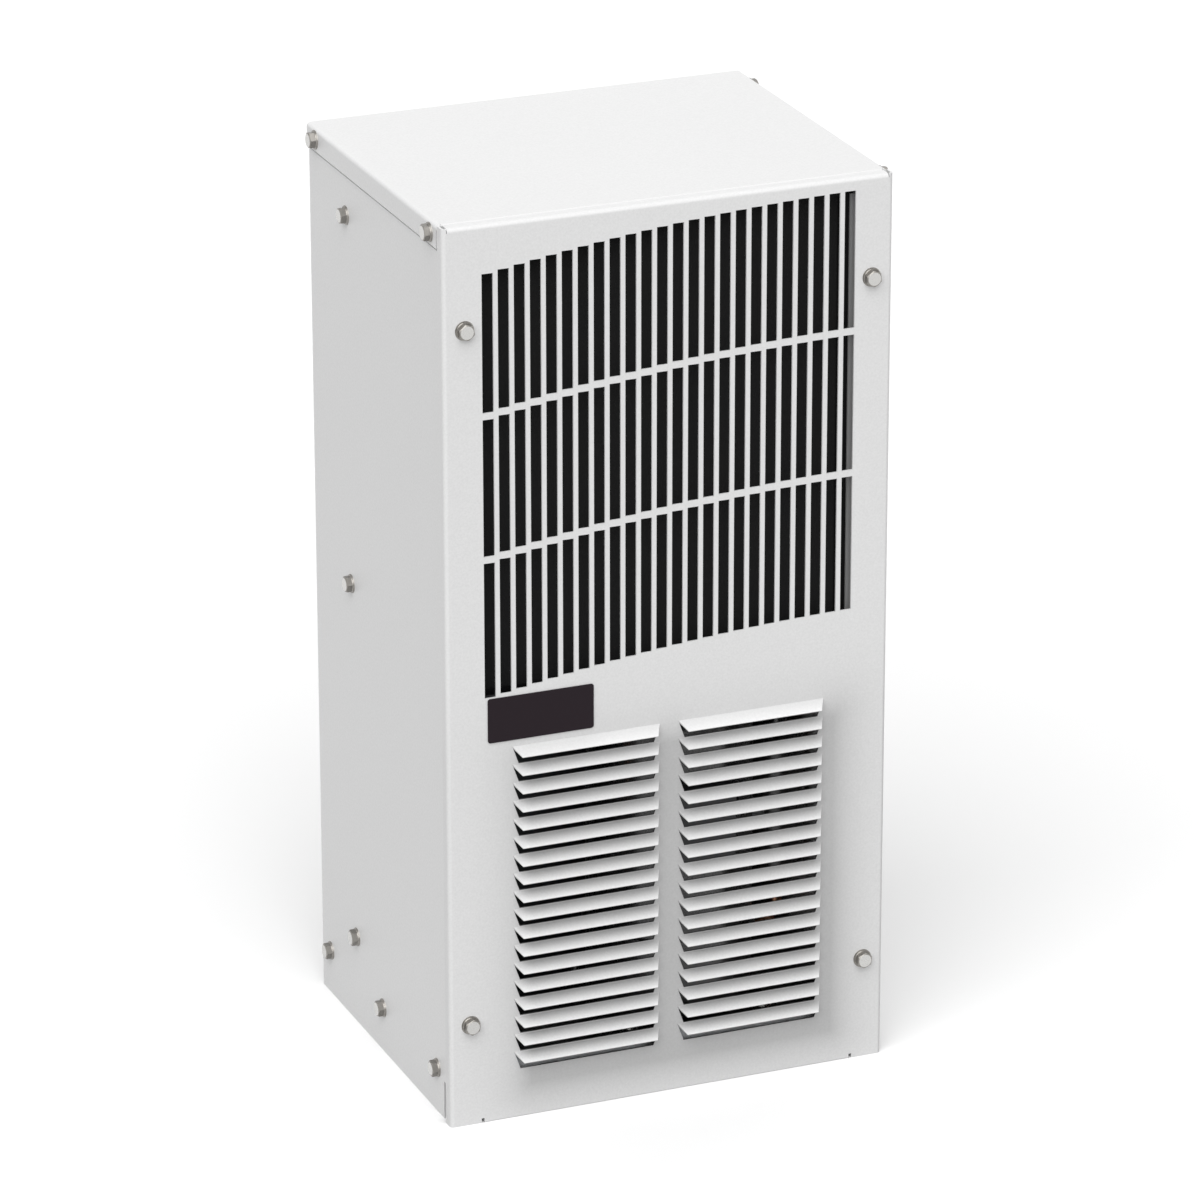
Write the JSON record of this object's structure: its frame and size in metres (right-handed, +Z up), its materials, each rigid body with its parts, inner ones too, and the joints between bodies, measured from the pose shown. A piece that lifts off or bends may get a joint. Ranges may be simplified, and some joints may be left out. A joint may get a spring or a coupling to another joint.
{
  "type": "enclosure air conditioner",
  "caption": "Side-mounted enclosure air conditioner: folded sheet casing with an arched slot grille, pressed louvers, fan, compressor, two coils and a rear blower behind its partition.",
  "frame": {"origin": "middle of the base, half way between the louver tips and the rear gasket", "axes": "+X to the right of the front, -Y out of the front with the grille, +Z up"},
  "size_m": [0.2624, 0.2122, 0.508],
  "materials": {
    "casing_paint": "light grey powder coat, fine satin speckle",
    "name_plate": "dark satin, bare",
    "zinc_steel": "bright zinc plate",
    "machined_steel": "ground",
    "galvanised_sheet": "galvanised, dull",
    "black_sheet": "matt black paint",
    "gasket_foam": "closed-cell foam",
    "lining_foam": "closed-cell foam sheet",
    "black_rubber": "moulded, matt",
    "filter_mat": "dark open fibre mat",
    "coil_aluminium": "brazed, satin",
    "fin_aluminium": "thin bright strip",
    "cast_aluminium": "die cast",
    "black_plastic": "moulded, fine texture",
    "grey_plastic": "moulded, satin",
    "cream_plastic": "moulded, satin",
    "motor_paint": "dark satin paint",
    "compressor_paint": "black enamel",
    "bronze": "sintered",
    "copper": "drawn tube, slightly dull",
    "capacitor_can": "drawn can"
  },
  "bodies": {
    "cabinet": {"front_cover": "casing_paint", "name_plate": "name_plate", "cover_screws": "zinc_steel", "top_panel": "casing_paint", "top_screws": "zinc_steel", "left_side_panel": "casing_paint", "right_side_panel": "casing_paint", "side_screws": "zinc_steel", "bottom_pan": "galvanised_sheet", "back_plate": "casing_paint", "mounting_nuts": "zinc_steel", "rear_gasket": "gasket_foam", "partition": "galvanised_sheet", "partition_lining": "lining_foam", "pipe_grommets": "black_rubber", "air_filter": "filter_mat", "filter_frame": "black_sheet", "frame_clips": "black_sheet", "condenser_coil": "coil_aluminium", "condenser_fins": "fin_aluminium", "condenser_saddles": "galvanised_sheet", "fan_shroud": "galvanised_sheet", "fan_motor": "motor_paint", "fan_motor_bushes": "bronze", "motor_bracket": "galvanised_sheet", "compressor": "compressor_paint", "compressor_base": "compressor_paint", "compressor_mounts": "black_rubber", "compressor_studs": "zinc_steel", "terminal_cover": "black_plastic", "accumulator": "compressor_paint", "accumulator_strap": "galvanised_sheet", "discharge_line": "copper", "liquid_line": "copper", "filter_drier": "copper", "capillary_tube": "copper", "suction_line": "copper", "suction_elbow": "copper", "evaporator_coil": "coil_aluminium", "evaporator_fins": "fin_aluminium", "evaporator_brackets": "galvanised_sheet", "drain_pan": "grey_plastic", "drain_tube": "grey_plastic", "blower_stator": "cast_aluminium", "blower_inlet_ring": "galvanised_sheet", "control_pocket": "galvanised_sheet", "thermostat_body": "cream_plastic", "terminal_block": "cream_plastic", "electrical_box": "galvanised_sheet", "electrical_lid": "galvanised_sheet", "run_capacitor": "capacitor_can", "compressor_relay": "black_plastic"},
    "condenser_rotor": {"condenser_fan": "black_plastic", "fan_rotor_shaft": "machined_steel"},
    "blower_body": {"blower_wheel": "black_plastic", "blower_rotor": "motor_paint"},
    "knob": {"thermostat_knob": "black_plastic"}
  },
  "joints": [
    {"name": "condenser_fan_spin", "type": "hinge", "parent": "cabinet", "child": "condenser_rotor", "pos_m": [-0.0035, -0.056, 0.37095], "axis": [0, 1, 0], "continuous": true},
    {"name": "blower_spin", "type": "hinge", "parent": "cabinet", "child": "blower_body", "pos_m": [0, 0.0463, 0.392], "axis": [0, 1, 0], "continuous": true},
    {"name": "thermostat_turn", "type": "hinge", "parent": "cabinet", "child": "knob", "pos_m": [0.044, 0.0759, 0.262], "axis": [0, 1, 0], "range_deg": [-135, 135]}
  ]
}
